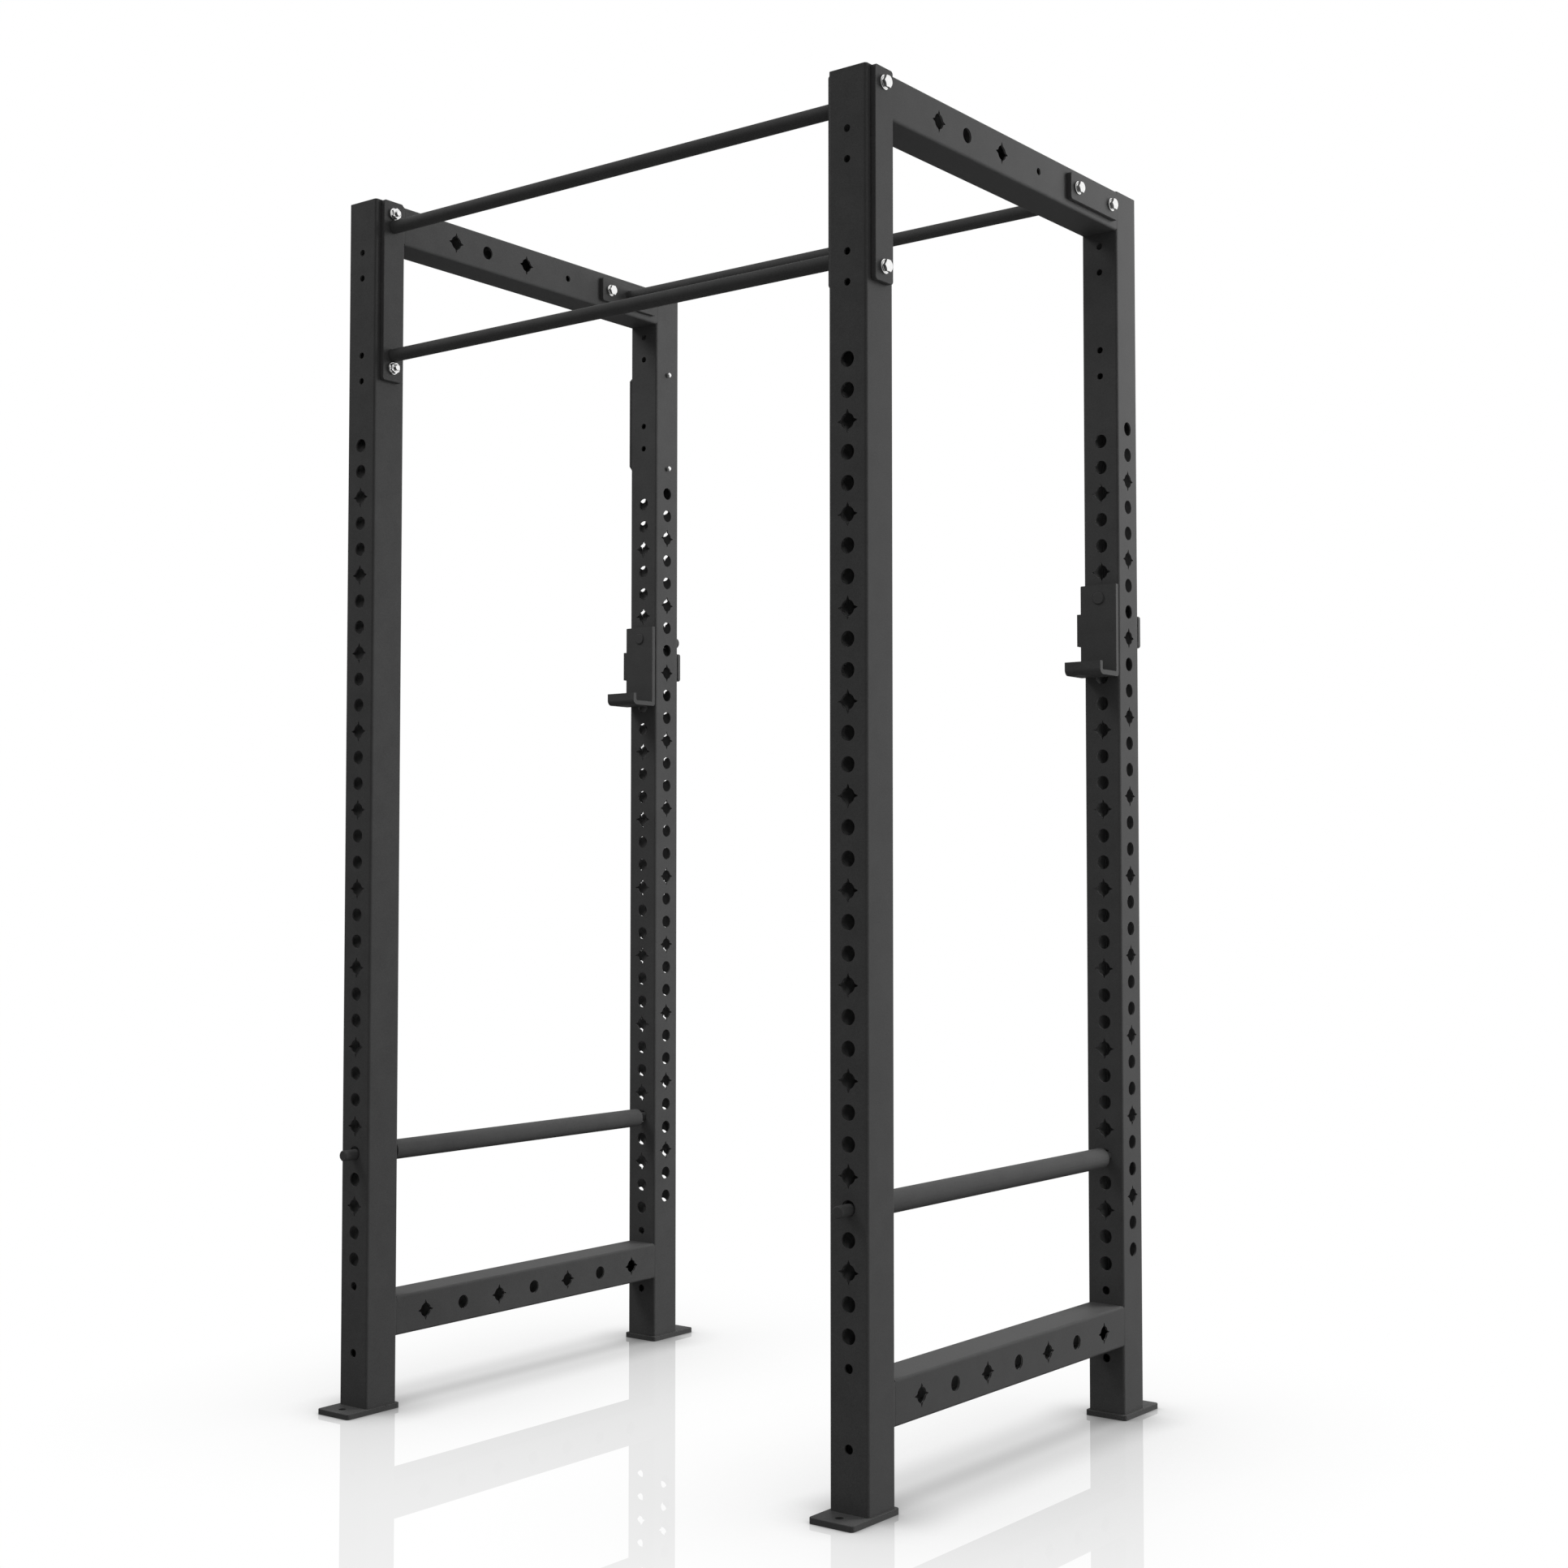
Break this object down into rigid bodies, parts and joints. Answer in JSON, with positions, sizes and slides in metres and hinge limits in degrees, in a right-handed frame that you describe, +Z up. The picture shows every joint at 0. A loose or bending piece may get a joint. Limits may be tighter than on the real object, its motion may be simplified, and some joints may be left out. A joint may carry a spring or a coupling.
{
  "type": "power cage",
  "caption": "Free-standing weight training cage of perforated square tube with bolted pull-up bars, pin and pipe safeties, floor plates and swinging J hooks for a barbell.",
  "frame": {"origin": "on the floor at the middle of the cage, below the centre of its four uprights", "axes": "+X to the right seen from the front, +Y from the front to the rear, +Z up"},
  "size_m": [1.2675, 1, 2.31],
  "materials": {
    "powder_coat": "fine textured satin powder coat",
    "zinc_plate": "bright zinc plate",
    "black_plastic": "matt moulded"
  },
  "bodies": {
    "frame": {"front_left_backing_plate": "powder_coat", "front_left_bolts": "zinc_plate", "front_left_end_plate": "powder_coat", "front_left_foot_plate": "powder_coat", "front_left_nuts": "zinc_plate", "front_left_upright": "powder_coat", "front_left_washers": "zinc_plate", "front_lower_bar": "powder_coat", "front_right_backing_plate": "powder_coat", "front_right_bolts": "zinc_plate", "front_right_end_plate": "powder_coat", "front_right_foot_plate": "powder_coat", "front_right_nuts": "zinc_plate", "front_right_upright": "powder_coat", "front_right_washers": "zinc_plate", "front_upper_bar": "powder_coat", "left_bottom_beam": "powder_coat", "left_top_beam": "powder_coat", "name_plate": "powder_coat", "name_plate_bolts": "zinc_plate", "rear_bar": "powder_coat", "rear_left_backing_plate": "powder_coat", "rear_left_bolts": "zinc_plate", "rear_left_end_plate": "powder_coat", "rear_left_foot_plate": "powder_coat", "rear_left_nuts": "zinc_plate", "rear_left_upright": "powder_coat", "rear_left_washers": "zinc_plate", "rear_right_backing_plate": "powder_coat", "rear_right_bolts": "zinc_plate", "rear_right_end_plate": "powder_coat", "rear_right_foot_plate": "powder_coat", "rear_right_nuts": "zinc_plate", "rear_right_upright": "powder_coat", "rear_right_washers": "zinc_plate", "right_bottom_beam": "powder_coat", "right_top_beam": "powder_coat"},
    "left_hook": {"left_hook_plate": "powder_coat", "left_hook_strap": "powder_coat"},
    "left_pin": {"left_hook_pin": "powder_coat"},
    "left_rod": {"left_safety_rod": "powder_coat"},
    "left_pipe": {"left_safety_pipe": "powder_coat", "left_pipe_bushes": "black_plastic"},
    "right_hook": {"right_hook_plate": "powder_coat", "right_hook_strap": "powder_coat"},
    "right_pin": {"right_hook_pin": "powder_coat"},
    "right_rod": {"right_safety_rod": "powder_coat"},
    "right_pipe": {"right_safety_pipe": "powder_coat", "right_pipe_bushes": "black_plastic"}
  },
  "joints": [
    {"name": "left_hook_swing", "type": "hinge", "parent": "frame", "child": "left_hook", "pos_m": [-0.575, 0.4125, 1.5343], "axis": [0, 1, 0], "range_deg": [0, 72]},
    {"name": "left_pin_pull", "type": "slide", "parent": "frame", "child": "left_pin", "axis": [0, 1, 0], "range_m": [0, 0.08]},
    {"name": "left_rod_pull", "type": "slide", "parent": "frame", "child": "left_rod", "axis": [0, -1, 0], "range_m": [0, 0.08]},
    {"name": "left_pipe_turn", "type": "hinge", "parent": "frame", "child": "left_pipe", "pos_m": [-0.575, 0, 0.4823], "axis": [0, 1, 0], "continuous": true},
    {"name": "right_hook_swing", "type": "hinge", "parent": "frame", "child": "right_hook", "pos_m": [0.575, 0.4125, 1.5343], "axis": [0, 1, 0], "range_deg": [0, 72]},
    {"name": "right_pin_pull", "type": "slide", "parent": "frame", "child": "right_pin", "axis": [0, 1, 0], "range_m": [0, 0.08]},
    {"name": "right_rod_pull", "type": "slide", "parent": "frame", "child": "right_rod", "axis": [0, -1, 0], "range_m": [0, 0.08]},
    {"name": "right_pipe_turn", "type": "hinge", "parent": "frame", "child": "right_pipe", "pos_m": [0.575, 0, 0.4823], "axis": [0, 1, 0], "continuous": true}
  ]
}
